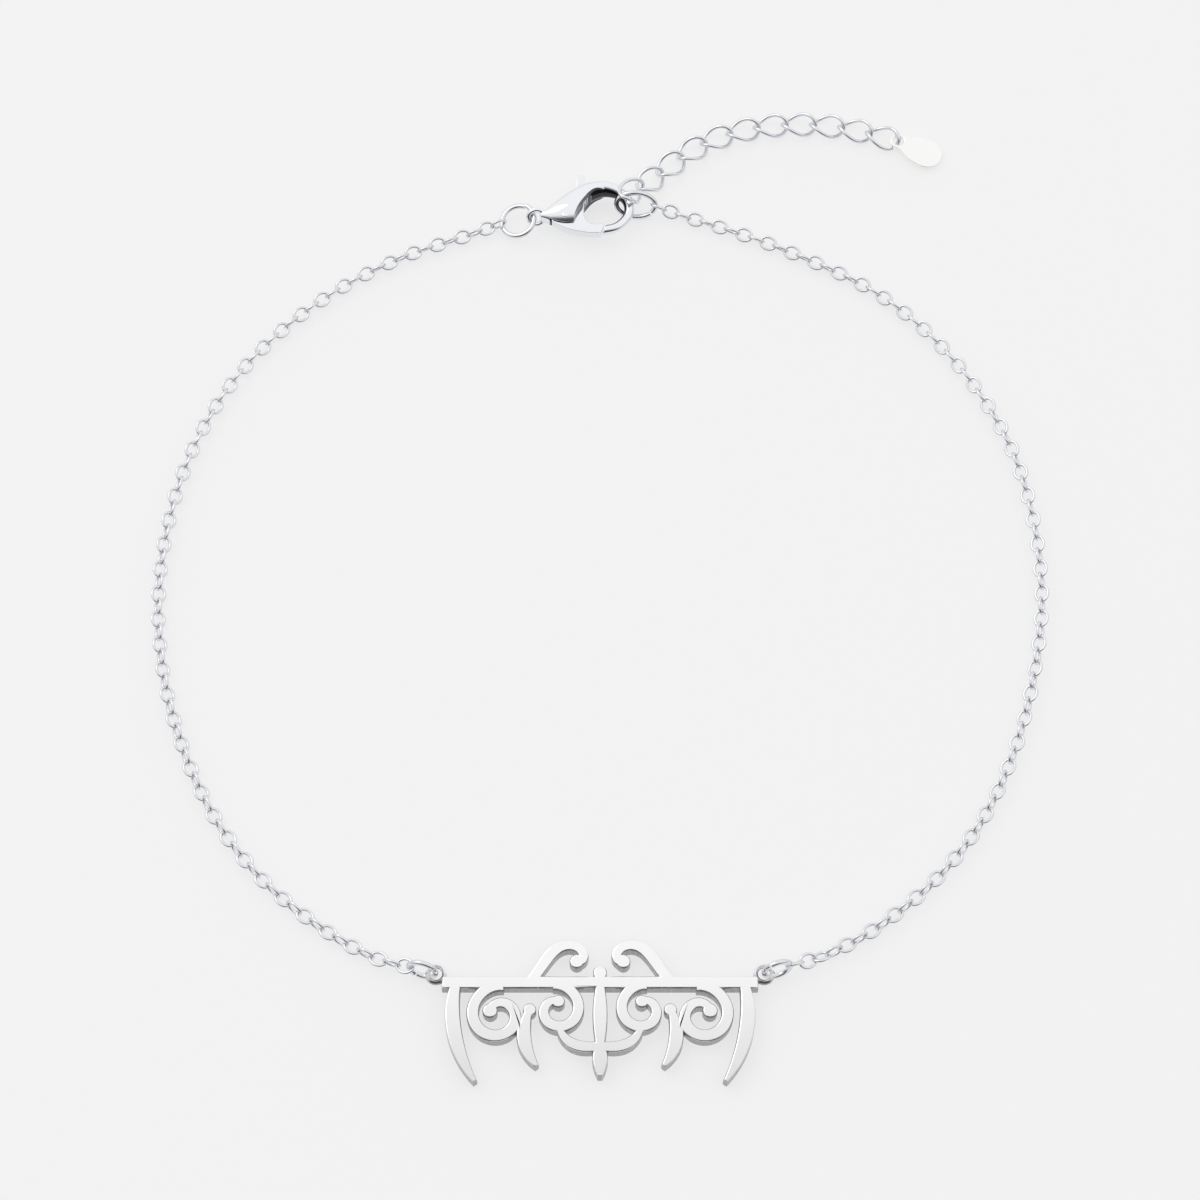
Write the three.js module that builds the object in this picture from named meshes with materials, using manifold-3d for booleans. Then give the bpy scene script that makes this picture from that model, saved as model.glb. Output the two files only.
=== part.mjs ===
// A fine silver bracelet that lies closed on a table: openwork bar, two runs of chain, lobster clasp,
// extender and tag.
// Millimetres. +X to the right, +Y away from the bar, +Z up, table at Z = 0.
import * as THREE from 'three';
import { mergeVertices } from 'three/addons/utils/BufferGeometryUtils.js';
import Module from 'manifold-3d';

const wasm = await Module();
wasm.setup();

// Brings the middle of the outline to the origin
const LAY_Y = 0.34;

// Openwork bar
const BAR = {
  thickness: 1.15,
  topY: -30.25,
  height: 0.8,
  halfLength: 10.15,
  strokeSteps: 10,
  voluteStepsPerTurn: 18,
  ballSides: 14,
};
const EYELET = {
  x: 10.55, aboveBarTop: 0.2, outerRadius: 0.68, holeRadius: 0.42, thickness: 0.45, sides: 20,
};

// Right half of the openwork in the bar's own plane, v = 0 at the bar's top edge.
// The left half is its mirror.
const STROKES = [
  // willow leaf at the bar's end
  { from: [9.2, -0.35], bend1: [9.8, -2.4], bend2: [9.3, -4.9], to: [7.9, -6.9], widths: [0.6, 1.0, 0.3] },
  // leaf where the two scrolls meet
  { from: [4.55, -2.3], bend1: [5.1, -3.7], bend2: [4.9, -4.8], to: [4.0, -5.9], widths: [0.45, 0.95, 0.3] },
  // swag from the small scroll to the middle drop
  { from: [2.55, -3.55], bend1: [2.1, -4.6], bend2: [1.1, -4.75], to: [0, -4.6], widths: [0.45, 0.75, 0.6] },
  // lyre arm above the bar, in two bends
  { from: [4.7, -0.4], bend1: [3.7, 0.2], bend2: [3.4, 2.1], to: [2.0, 2.1], widths: [0.6, 0.8, 0.72] },
  { from: [2.05, 2.1], bend1: [1.0, 2.1], bend2: [0.75, 1.1], to: [1.45, 0.95], widths: [0.72, 0.66, 0.6] },
];
const VOLUTES = [
  {
    centre: [6.5, -2.55], startDeg: 100, turns: -1.2, startRadius: 1.95, endRadius: 0.6,
    widths: [0.7, 0.8, 0.55], bulb: 0.48,
  },
  {
    centre: [2.75, -2.2], startDeg: 80, turns: 1.05, startRadius: 1.65, endRadius: 0.55,
    widths: [0.65, 0.75, 0.5], bulb: 0.42,
  },
];
const BALLS = [
  { at: [1.5, 1.0], radius: 0.46 },
  { at: [4.5, -2.2], radius: 0.42 },
];
const MIDDLE_STROKES = [
  { from: [0, -0.4], bend1: [0, -1.9], bend2: [0, -3.2], to: [0, -4.7], widths: [0.5, 0.95, 0.5] },
  { from: [0, -4.5], bend1: [0, -5.1], bend2: [0, -5.8], to: [0, -6.6], widths: [0.5, 1.0, 0.3] },
];
const MIDDLE_BALLS = [{ at: [0, 0.25], radius: 0.45 }];

// Wire rings: the along axis has a heading in plan and a slope (down positive),
// and the roll turns the ring about it.
const WIRE = { sides: 6, steps: 16 };
const RINGS = [
  {
    name: 'jump_ring_left', halfLength: 0.9, halfWidth: 0.9, wire: 0.36,
    headingDeg: 165, slopeDeg: 0, rollDeg: -80,
  },
  {
    name: 'jump_ring_right', halfLength: 0.9, halfWidth: 0.9, wire: 0.36,
    headingDeg: 18, slopeDeg: 0, rollDeg: 80,
  },
  {
    name: 'clasp_ring', halfLength: 1.22, halfWidth: 1.22, wire: 0.38,
    headingDeg: 4, slopeDeg: -13, rollDeg: 6,
  },
  {
    name: 'end_ring', halfLength: 1.43, halfWidth: 0.92, wire: 0.38,
    headingDeg: -4, slopeDeg: 0, rollDeg: 55,
  },
];
const JUMP_RING_Z = 1.09;
const CLASP_RING = { z: 0.72, eyeClearance: 0.07 };
const END_RING_AT = [2.62, 28.2, 1.06];

// Chain runs, as plain tubes of the links' outer width. Points lie on the middle line.
const CHAIN = { diameter: 1.0, sides: 8, stepLength: 2.5 };
const CHAIN_LEFT_ROUTE = [
  [-7.6, 26.65, 0.5], [-9.5, 25.95, 0.5], [-14.2, 24.1, 0.5], [-18.7, 21.45, 0.5], [-22.8, 17.9, 0.5],
  [-26.2, 13.5, 0.5], [-28.6, 8.2, 0.5], [-29.9, 2.5, 0.5], [-30.2, -3.3, 0.5], [-29.45, -9.05, 0.5],
  [-27.75, -14.5, 0.5], [-25.25, -19.5, 0.5], [-21.9, -23.7, 0.5], [-17.9, -26.95, 0.5],
  [-14.6, -28.8, 0.56], [-12.85, -29.45, 0.85],
];
const CHAIN_RIGHT_ROUTE = [
  [4.6, 27.95, 0.85], [6.2, 27.5, 0.55], [8.2, 26.8, 0.5], [13.0, 24.85, 0.5], [19.1, 21.6, 0.5],
  [23.2, 18.0, 0.5], [26.5, 13.45, 0.5], [28.9, 8.2, 0.5], [30.05, 2.5, 0.5], [30.2, -3.3, 0.5],
  [29.3, -9.0, 0.5],
  [27.65, -14.4, 0.5], [25.2, -19.4, 0.5], [21.9, -23.55, 0.5], [17.95, -26.8, 0.5],
  [14.6, -28.65, 0.56], [12.85, -29.35, 0.85],
];

// Lobster clasp in its own plan: eye at the origin, x to the hook, gate on the -y side
const CLASP = { at: [-4.62, 27.15], headingDeg: 6, thickness: 2.1, cutMargin: 1, arcSides: 64 };
const PUFF = { x: 2.85, y: 0.75, halfLength: 2.95, halfWidth: 2.0, headingDeg: 33, sides: 28, rows: 14 };
const EYE = { radius: 0.58, wire: 0.38, tiltDeg: -60, sides: 8, steps: 20 };
const BODY_SPINE = [[0.5, 0.34], [1.1, 0.8], [1.93, 1.4], [2.91, 1.97], [3.9, 2.34], [4.6, 2.3]];
const BODY_FRONT = [
  [5.4, 1.8], [4.7, 1.36], [4.15, 1.1], [3.55, 0.6], [3.12, -0.1], [2.97, -0.7], [2.75, -1.08],
];
const BODY_LOWER = [[2.0, -0.98], [1.2, -0.66], [0.5, -0.34]];
const HOOK = {
  line: [
    [4.0, 1.7], [5.05, 1.88], [6.05, 1.53], [6.65, 0.85], [6.8, 0.1], [6.6, -0.65], [6.05, -1.25],
    [5.4, -1.57], [4.3, -1.66],
  ],
  widths: [1.3, 0.76, 0.74],
  heights: [1.7, 0.8, 0.76],
  steps: 22,
  sides: 10,
};
const PIVOT = { x: 2.05, y: -0.45, pinRadius: 0.24, clearance: 0.07, sunk: 0.1, sides: 16 };
const LEVER = { thickness: 0.7, sideGap: 0.09, tipRadius: 2.9, tipGap: 0.12 };
// The gate's side of the clasp, where the lever's tip and the hook are cut to a gap
const GATE_SIDE = { left: 2, right: 8, hookTopY: -0.8, leverTopY: -0.4, bottomY: -4.8 };
const LEVER_FRONT = [
  [4.2, -1.24], [3.75, -1.08], [3.5, -0.7], [3.42, -0.1], [3.55, 0.5], [3.68, 1.2], [3.72, 2.0],
];
const LEVER_TAB = [[3.84, 2.95], [3.7, 3.06], [3.42, 3.08], [3.26, 2.98]];
const LEVER_BACK = [[3.1, 2.1], [2.75, 1.0], [2.2, 0.3], [1.5, 0.05], [1.15, -0.3], [1.05, -0.62]];
const LEVER_LOWER = [[1.5, -1.02], [2.3, -1.5], [3.3, -1.83], [4.0, -1.97]];
const LEVER_TIP = { x: 5.4, innerY: -1.28, outerY: -2.02 };
const SLOT_LEFT = [[0.9, -3], [0.9, 0.1], [1.4, 0.45], [1.75, 0.8], [1.95, 1.25], [1.6, 3.8]];
const SLOT_RIGHT = [[4.15, 3.8], [3.85, 2.0], [3.85, -3]];

// Extender: twisted open links, each turned a little on from the last, then the tag
const LINK = { halfLength: 1.24, halfWidth: 0.86, wire: 0.28, twistDeg: 90, pitch: 2.1, restZ: 0.5 };
const FIRST_LINK = { ringOffset: -0.65, clearance: 0.32 };
const EXTENDER = [
  { headingDeg: 45, slopeDeg: 28, rollDeg: 34 },
  { headingDeg: 46, slopeDeg: 11, rollDeg: 16 },
  { headingDeg: 44, slopeDeg: 2, rollDeg: 5 },
  { headingDeg: 36, slopeDeg: 0, rollDeg: 0 },
  { headingDeg: 24, slopeDeg: 0, rollDeg: 0 },
  { headingDeg: 15, slopeDeg: 0, rollDeg: 0 },
  { headingDeg: 7, slopeDeg: 0, rollDeg: 0 },
  { headingDeg: 0, slopeDeg: 0, rollDeg: 0 },
  { headingDeg: -6, slopeDeg: 0, rollDeg: 0 },
  { headingDeg: -14, slopeDeg: 0, rollDeg: 0 },
  { headingDeg: -20, slopeDeg: 0, rollDeg: 0 },
];
const TAG = {
  length: 4.15, halfWidth: 1.18, neckHalfWidth: 0.62, thickness: 0.4,
  holeRadius: 0.4, holeFromTip: 0.72, holeSides: 14, flankBend: 0.4, headingDeg: -26, slopeDeg: 4.5,
};

// Materials
const silver = (roughness) => new THREE.MeshStandardMaterial({ color: 0xe6e6e8, roughness, metalness: 1 });
const barSilver = silver(0.18);
const wireSilver = silver(0.12);
const claspSilver = silver(0.08);

const radians = THREE.MathUtils.degToRad;
const vector2 = ([x, y]) => new THREE.Vector2(x, y);
const vector3 = ([x, y, z]) => new THREE.Vector3(x, y, z);

// Solids for cutting and joining
const MERGE = 1e-4;
const WELD = 0.003;

function solid(geometry) {
  const bare = geometry.clone();
  bare.deleteAttribute('normal');
  bare.deleteAttribute('uv');
  const merged = mergeVertices(bare, MERGE);
  return new wasm.Manifold(new wasm.Mesh({
    numProp: 3,
    vertProperties: new Float32Array(merged.attributes.position.array),
    triVerts: new Uint32Array(merged.index.array),
  }));
}

// Corners closer than the weld are one corner, and the triangles that this flattens go
function geometryOf(manifold) {
  const { vertProperties, triVerts } = manifold.getMesh();
  const cut = new THREE.BufferGeometry();
  cut.setAttribute('position', new THREE.BufferAttribute(vertProperties, 3));
  cut.setIndex(new THREE.BufferAttribute(triVerts, 1));
  const geometry = mergeVertices(cut, WELD);
  const corners = Array.from(geometry.index.array);
  const kept = [];
  for (let i = 0; i < corners.length; i += 3) {
    const triangle = corners.slice(i, i + 3);
    if (new Set(triangle).size === 3) kept.push(...triangle);
  }
  geometry.setIndex(kept);
  geometry.computeVertexNormals();
  return geometry;
}

const joined = (solids) => solids.reduce((whole, piece) => whole.add(piece));

function slab(shape, bottom, height) {
  const extrusion = { depth: height, bevelEnabled: false, curveSegments: 4 };
  return new THREE.ExtrudeGeometry(shape, extrusion).translate(0, 0, bottom);
}

const disc = (x, y, radius, bottom, height, sides) =>
  new THREE.CylinderGeometry(radius, radius, height, sides)
    .rotateX(Math.PI / 2)
    .translate(x, y, bottom + height / 2);

// Smooth value along 0..1 from its start, middle and end
function along([start, middle, end], t) {
  const rise = 4 * middle - 3 * start - end;
  return start + rise * t + (end - start - rise) * t * t;
}

// Ribbon outline: a curve in the plane with a width that varies along it
function ribbon(curve, widths, steps) {
  const left = [];
  const right = [];
  for (let i = 0; i <= steps; i++) {
    const point = curve.getPoint(i / steps);
    const heading = curve.getTangent(i / steps);
    const side = new THREE.Vector2(-heading.y, heading.x).multiplyScalar(along(widths, i / steps) / 2);
    left.push(point.clone().add(side));
    right.unshift(point.clone().sub(side));
  }
  return new THREE.Shape([...right.reverse(), ...left.reverse()]);
}

class Volute extends THREE.Curve {
  constructor({ centre, startDeg, turns, startRadius, endRadius }) {
    super();
    Object.assign(this, { centre, startDeg, turns, startRadius, endRadius });
  }

  getPoint(t, target = new THREE.Vector2()) {
    const angle = radians(this.startDeg) + 2 * Math.PI * this.turns * t;
    const radius = THREE.MathUtils.lerp(this.startRadius, this.endRadius, t);
    return target.set(this.centre[0] + radius * Math.cos(angle), this.centre[1] + radius * Math.sin(angle));
  }
}

// Closed wire: a flat oval, or one twisted about its long axis so that it lies flat among its like
class WireLoop extends THREE.Curve {
  constructor({ halfLength, halfWidth, twistDeg = 0 }) {
    super();
    Object.assign(this, { halfLength, halfWidth, twist: radians(twistDeg) });
  }

  getPoint(t, target = new THREE.Vector3()) {
    const angle = 2 * Math.PI * t;
    const lean = (this.twist / 2) * Math.cos(angle);
    const across = this.halfWidth * Math.sin(angle);
    return target.set(this.halfLength * Math.cos(angle), across * Math.cos(lean), across * Math.sin(lean));
  }
}

const wireGeometry = (size) =>
  new THREE.TubeGeometry(new WireLoop(size), WIRE.steps, size.wire / 2, WIRE.sides, true);

function turnOf({ headingDeg, slopeDeg, rollDeg = 0 }) {
  return new THREE.Euler(radians(rollDeg), radians(slopeDeg), radians(headingDeg), 'ZYX');
}

const directionOf = (turn) => new THREE.Vector3(1, 0, 0).applyEuler(turnOf(turn));

function piece(name, geometry, material, position = new THREE.Vector3(), turn = null) {
  const mesh = new THREE.Mesh(geometry, material);
  mesh.name = name;
  mesh.position.copy(position);
  if (turn) mesh.rotation.copy(turnOf(turn));
  return mesh;
}

const bracelet = new THREE.Group();
bracelet.position.y = LAY_Y;

// Openwork bar with its eyelets
function nameBar() {
  const solids = [];
  const addShape = (shape) => solids.push(solid(slab(shape, 0, BAR.thickness)));
  const addBall = ({ at, radius }, side) =>
    solids.push(solid(disc(side * at[0], at[1], radius, 0, BAR.thickness, BAR.ballSides)));
  const mirrored = ([u, v], side) => new THREE.Vector2(side * u, v);
  const addStroke = ({ from, bend1, bend2, to, widths }, side) => {
    const ends = [from, bend1, bend2, to].map((point) => mirrored(point, side));
    addShape(ribbon(new THREE.CubicBezierCurve(...ends), widths, BAR.strokeSteps));
  };
  const addVolute = (row, side) => {
    const startDeg = side > 0 ? row.startDeg : 180 - row.startDeg;
    const centre = [side * row.centre[0], row.centre[1]];
    const curve = new Volute({ ...row, centre, startDeg, turns: side * row.turns });
    addShape(ribbon(curve, row.widths, Math.round(Math.abs(row.turns) * BAR.voluteStepsPerTurn)));
    const end = curve.getPoint(1);
    addBall({ at: [end.x, end.y], radius: row.bulb }, 1);
  };

  const bar = new THREE.Shape();
  bar.moveTo(-BAR.halfLength, -BAR.height);
  bar.lineTo(BAR.halfLength, -BAR.height);
  bar.lineTo(BAR.halfLength, 0);
  bar.lineTo(-BAR.halfLength, 0);
  addShape(bar);
  for (const side of [-1, 1]) {
    STROKES.forEach((row) => addStroke(row, side));
    VOLUTES.forEach((row) => addVolute(row, side));
    BALLS.forEach((row) => addBall(row, side));
  }
  MIDDLE_STROKES.forEach((row) => addStroke(row, 1));
  MIDDLE_BALLS.forEach((row) => addBall(row, 1));

  let whole = joined(solids);
  for (const side of [-1, 1]) {
    const x = side * EYELET.x;
    const bottom = BAR.thickness - EYELET.thickness;
    const rim = disc(x, EYELET.aboveBarTop, EYELET.outerRadius, bottom, EYELET.thickness, EYELET.sides);
    const hole = disc(x, EYELET.aboveBarTop, EYELET.holeRadius, 0, 2 * BAR.thickness, EYELET.sides);
    whole = whole.add(solid(rim)).subtract(solid(hole));
  }
  return piece('name_bar', geometryOf(whole), barSilver, new THREE.Vector3(0, BAR.topY, 0));
}

// Rings
function ringCentres() {
  const eyelet = (side) => new THREE.Vector3(side * EYELET.x, BAR.topY + EYELET.aboveBarTop, JUMP_RING_Z);
  const ring = Object.fromEntries(RINGS.map((row) => [row.name, row]));
  const jumpCentre = (row, side) => eyelet(side).addScaledVector(directionOf(row), row.halfLength);
  const eyeInside = EYE.radius - EYE.wire / 2 - ring.clasp_ring.wire / 2 - CLASP_RING.eyeClearance;
  const claspRingReach = ring.clasp_ring.halfLength + eyeInside;
  const level = { headingDeg: ring.clasp_ring.headingDeg, slopeDeg: 0 };
  const claspRing = new THREE.Vector3(...CLASP.at, 0).addScaledVector(directionOf(level), -claspRingReach);
  return {
    jump_ring_left: jumpCentre(ring.jump_ring_left, -1),
    jump_ring_right: jumpCentre(ring.jump_ring_right, 1),
    clasp_ring: claspRing.setZ(CLASP_RING.z),
    end_ring: vector3(END_RING_AT),
  };
}

// Chain runs
function chainTube(name, route) {
  const path = new THREE.CatmullRomCurve3(route.map(vector3));
  const circle = new THREE.Path();
  circle.absarc(0, 0, CHAIN.diameter / 2, 0, 2 * Math.PI);
  const section = new THREE.Shape(circle.getSpacedPoints(CHAIN.sides).slice(0, -1));
  const geometry = new THREE.ExtrudeGeometry(section, {
    steps: Math.round(path.getLength() / CHAIN.stepLength),
    extrudePath: path,
  });
  return piece(name, geometryOf(solid(geometry)), wireSilver);
}

// Clasp
const middleZ = CLASP.thickness / 2;

function bentBar({ line, widths, heights, steps, sides }) {
  const curve = new THREE.SplineCurve(line.map(vector2));
  const geometry = new THREE.CylinderGeometry(0.5, 0.5, 1, sides, steps);
  const position = geometry.attributes.position;
  for (let i = 0; i < position.count; i++) {
    const t = THREE.MathUtils.clamp(position.getY(i) + 0.5, 0, 1);
    const point = curve.getPoint(t);
    const heading = curve.getTangent(t);
    const side = position.getX(i) * along(widths, t);
    const rise = position.getZ(i) * along(heights, t);
    position.setXYZ(i, point.x - heading.y * side, point.y + heading.x * side, middleZ - rise);
  }
  return geometry;
}

function claspBodyShape() {
  const shape = new THREE.Shape();
  shape.moveTo(...BODY_SPINE[0]);
  shape.splineThru(BODY_SPINE.slice(1).map(vector2));
  shape.lineTo(...BODY_FRONT[0]);
  shape.splineThru(BODY_FRONT.slice(1).map(vector2));
  shape.splineThru(BODY_LOWER.map(vector2));
  return shape;
}

// A disc or slab that runs through the whole clasp, past both faces
const cutBottom = -CLASP.cutMargin;
const cutHeight = CLASP.thickness + 2 * CLASP.cutMargin;
const pivotDisc = (radius, sides) => solid(disc(PIVOT.x, PIVOT.y, radius, cutBottom, cutHeight, sides));

function gateSide(topY) {
  const { left, right, bottomY } = GATE_SIDE;
  const corners = [[left, bottomY], [right, bottomY], [right, topY], [left, topY]];
  return solid(slab(new THREE.Shape(corners.map(vector2)), cutBottom, cutHeight));
}

function clasp() {
  const puff = new THREE.SphereGeometry(1, PUFF.sides, PUFF.rows)
    .rotateX(Math.PI / 2)
    .scale(PUFF.halfLength, PUFF.halfWidth, middleZ)
    .rotateZ(radians(PUFF.headingDeg))
    .translate(PUFF.x, PUFF.y, middleZ);
  const body = solid(slab(claspBodyShape(), cutBottom, cutHeight)).intersect(solid(puff));
  const eye = new THREE.TorusGeometry(EYE.radius, EYE.wire / 2, EYE.sides, EYE.steps)
    .rotateX(-radians(EYE.tiltDeg))
    .translate(0, 0, middleZ);
  const pinHole = pivotDisc(PIVOT.pinRadius + PIVOT.clearance, PIVOT.sides);
  const slotHeight = LEVER.thickness + 2 * LEVER.sideGap;
  const slotShape = new THREE.Shape([...SLOT_LEFT, ...SLOT_RIGHT].map(vector2));
  const slot = slab(slotShape, middleZ - slotHeight / 2, slotHeight);
  const gateReach = pivotDisc(LEVER.tipRadius + LEVER.tipGap, CLASP.arcSides);
  const gateRoom = gateReach.intersect(gateSide(GATE_SIDE.hookTopY));
  const casting = solid(bentBar(HOOK)).subtract(gateRoom).add(body).add(solid(eye))
    .subtract(solid(slot)).subtract(pinHole);

  const lever = new THREE.Shape();
  lever.moveTo(LEVER_TIP.x, LEVER_TIP.innerY);
  lever.splineThru(LEVER_FRONT.map(vector2));
  LEVER_TAB.forEach((corner) => lever.lineTo(...corner));
  lever.splineThru(LEVER_BACK.map(vector2));
  lever.splineThru([...LEVER_LOWER.map(vector2), new THREE.Vector2(LEVER_TIP.x, LEVER_TIP.outerY)]);
  const leverSlab = slab(lever, middleZ - LEVER.thickness / 2, LEVER.thickness);
  const tipTrim = gateSide(GATE_SIDE.leverTopY).subtract(pivotDisc(LEVER.tipRadius, CLASP.arcSides));
  const gate = solid(leverSlab).subtract(tipTrim).subtract(pinHole);

  const pinLength = CLASP.thickness - 2 * PIVOT.sunk;
  const pin = disc(PIVOT.x, PIVOT.y, PIVOT.pinRadius, middleZ - pinLength / 2, pinLength, PIVOT.sides);

  const group = new THREE.Group();
  group.position.set(...CLASP.at, 0);
  group.rotation.z = radians(CLASP.headingDeg);
  group.add(
    piece('clasp_body', geometryOf(casting), claspSilver),
    piece('clasp_lever', geometryOf(gate), claspSilver),
    piece('clasp_pin', geometryOf(solid(pin)), claspSilver),
  );
  return group;
}

// Extender and tag
function extender(ringCentre) {
  const group = new THREE.Group();
  const ring = RINGS.find((row) => row.name === 'end_ring');
  const angle = Math.acos(FIRST_LINK.ringOffset / ring.halfLength);
  const strand = new WireLoop(ring).getPoint(angle / (2 * Math.PI));
  strand.applyEuler(turnOf(ring)).add(ringCentre);
  const hold = LINK.halfLength - LINK.wire / 2 - ring.wire / 2 - FIRST_LINK.clearance;
  const centre = strand.clone().addScaledVector(directionOf(EXTENDER[0]), hold);
  EXTENDER.forEach((turn, i) => {
    if (i > 0) {
      centre.addScaledVector(directionOf(EXTENDER[i - 1]), LINK.pitch / 2);
      centre.addScaledVector(directionOf(turn), LINK.pitch / 2);
    }
    centre.z = Math.max(centre.z, LINK.restZ);
    const name = `extender_link_${String(i + 1).padStart(2, '0')}`;
    group.add(piece(name, wireGeometry(LINK), wireSilver, centre, turn));
  });

  const reach = LINK.halfLength - LINK.wire / 2;
  const lastEnd = centre.clone().addScaledVector(directionOf(EXTENDER.at(-1)), reach);
  const tagShape = new THREE.Shape();
  const { length, halfWidth, neckHalfWidth, holeFromTip } = TAG;
  const roundCentre = length - holeFromTip - halfWidth;
  const flank = roundCentre * TAG.flankBend;
  tagShape.moveTo(roundCentre, -halfWidth);
  tagShape.absarc(roundCentre, 0, halfWidth, -Math.PI / 2, Math.PI / 2);
  tagShape.bezierCurveTo(flank, halfWidth, flank, neckHalfWidth, 0, neckHalfWidth);
  tagShape.absarc(0, 0, neckHalfWidth, Math.PI / 2, 1.5 * Math.PI);
  tagShape.bezierCurveTo(flank, -neckHalfWidth, flank, -halfWidth, roundCentre, -halfWidth);
  const hole = disc(0, 0, TAG.holeRadius, -TAG.thickness, 2 * TAG.thickness, TAG.holeSides);
  const tag = solid(slab(tagShape, -TAG.thickness / 2, TAG.thickness)).subtract(solid(hole));
  const tagAt = lastEnd.addScaledVector(directionOf(TAG), TAG.holeRadius - LINK.wire);
  group.add(piece('end_tag', geometryOf(tag), wireSilver, tagAt, TAG));
  return group;
}

bracelet.add(nameBar());
const centres = ringCentres();
for (const row of RINGS) {
  bracelet.add(piece(row.name, wireGeometry(row), wireSilver, centres[row.name], row));
}
bracelet.add(chainTube('chain_left', CHAIN_LEFT_ROUTE), chainTube('chain_right', CHAIN_RIGHT_ROUTE));
bracelet.add(clasp());
bracelet.add(extender(centres.end_ring));

export default bracelet;
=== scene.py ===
import math

import bmesh
import bpy
from mathutils import Euler, Matrix, Vector
from mathutils.geometry import delaunay_2d_cdt


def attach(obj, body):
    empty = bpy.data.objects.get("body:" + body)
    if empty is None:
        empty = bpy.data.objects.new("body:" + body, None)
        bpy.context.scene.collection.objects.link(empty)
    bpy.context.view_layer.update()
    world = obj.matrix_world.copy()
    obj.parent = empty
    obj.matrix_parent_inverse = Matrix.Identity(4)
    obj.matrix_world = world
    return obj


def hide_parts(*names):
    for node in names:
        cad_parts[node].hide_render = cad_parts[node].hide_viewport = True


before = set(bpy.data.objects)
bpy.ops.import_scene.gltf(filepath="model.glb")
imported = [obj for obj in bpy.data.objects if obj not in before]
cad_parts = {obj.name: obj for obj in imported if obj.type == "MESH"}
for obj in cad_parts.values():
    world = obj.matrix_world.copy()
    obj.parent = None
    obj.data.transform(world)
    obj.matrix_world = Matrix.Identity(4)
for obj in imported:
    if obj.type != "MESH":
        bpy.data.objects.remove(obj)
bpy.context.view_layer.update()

# Lengths below are in millimetres and become metres when a mesh is placed.
mm = 0.001
layY = 0.34  # brings the middle of the outline to the origin
body = "bracelet"


# Helpers for meshes

def addObject(name, mesh):
    obj = bpy.data.objects.new(name, mesh)
    bpy.context.scene.collection.objects.link(obj)
    return obj


def meshFrom(name, bm):
    bmesh.ops.recalc_face_normals(bm, faces=bm.faces)
    mesh = bpy.data.meshes.new(name)
    bm.to_mesh(mesh)
    bm.free()
    return mesh


def evaluated(obj, name):
    # the modifiers' result as a plain mesh, and the source object goes
    graph = bpy.context.evaluated_depsgraph_get()
    mesh = bpy.data.meshes.new_from_object(obj.evaluated_get(graph), depsgraph=graph)
    mesh.name = name
    bpy.data.objects.remove(obj, do_unlink=True)
    return mesh


def placed(mesh, at=(0, 0, 0), turn=None):
    # from a piece's own millimetres to its place on the bracelet, in metres
    spin = turn.to_matrix().to_4x4() if turn else Matrix.Identity(4)
    move = Matrix.Translation(Vector(at) + Vector((0, layY, 0)))
    mesh.transform(Matrix.Scale(mm, 4) @ move @ spin)
    return mesh


def finishPiece(name, mesh, materials, slot, rides, *nodes):
    mesh.name = name
    mesh.materials.clear()
    for material in materials:
        mesh.materials.append(material)
    obj = addObject(name, mesh)
    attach(obj, rides)
    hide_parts(*nodes)
    return obj


def turnOf(row):
    # heading in plan, slope down positive, roll about the piece's own length
    roll = row.get("roll", 0)
    return Euler((math.radians(roll), math.radians(row["slope"]), math.radians(row["heading"])), "XYZ")


def directionOf(row):
    return turnOf(row).to_matrix() @ Vector((1, 0, 0))


def tubeMesh(rings, closed=False, capped=False):
    # skin over a row of rings that all have the same number of points
    bm = bmesh.new()
    loops = [[bm.verts.new(p) for p in ring] for ring in rings]
    count = len(loops[0])
    spans = len(loops) if closed else len(loops) - 1
    for i in range(spans):
        a, b = loops[i], loops[(i + 1) % len(loops)]
        for k in range(count):
            bm.faces.new((a[k], a[(k + 1) % count], b[(k + 1) % count], b[k]))
    if capped:
        bm.faces.new(reversed(loops[0]))
        bm.faces.new(loops[-1])
    return meshFrom("tube", bm)


def prismMesh(outline, bottom, height):
    bm = bmesh.new()
    face = bm.faces.new([bm.verts.new((x, y, bottom)) for x, y in outline])
    made = bmesh.ops.extrude_face_region(bm, geom=[face])
    top = [v for v in made["geom"] if isinstance(v, bmesh.types.BMVert)]
    bmesh.ops.translate(bm, verts=top, vec=(0, 0, height))
    return meshFrom("prism", bm)


def discOutline(x, y, radius, sides):
    turns = [2 * math.pi * i / sides for i in range(sides)]
    return [(x + radius * math.cos(a), y + radius * math.sin(a)) for a in turns]


def along(values, t):
    # smooth value along 0..1 from its start, middle and end
    start, middle, end = values
    rise = 4 * middle - 3 * start - end
    return start + rise * t + (end - start - rise) * t * t


def splineThrough(points, stepsPerSpan):
    # even Catmull-Rom through flat points, the ends doubled
    pts = [Vector(p) for p in points]
    line = []
    for i in range(len(pts) - 1):
        a, b, c = pts[max(i - 1, 0)], pts[i], pts[i + 1]
        d = pts[min(i + 2, len(pts) - 1)]
        for s in range(stepsPerSpan):
            t = s / stepsPerSpan
            m0, m1 = (c - a) / 2, (d - b) / 2
            line.append((2 * t**3 - 3 * t**2 + 1) * b + (t**3 - 2 * t**2 + t) * m0
                        + (3 * t**2 - 2 * t**3) * c + (t**3 - t**2) * m1)
    line.append(pts[-1])
    return line


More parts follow.
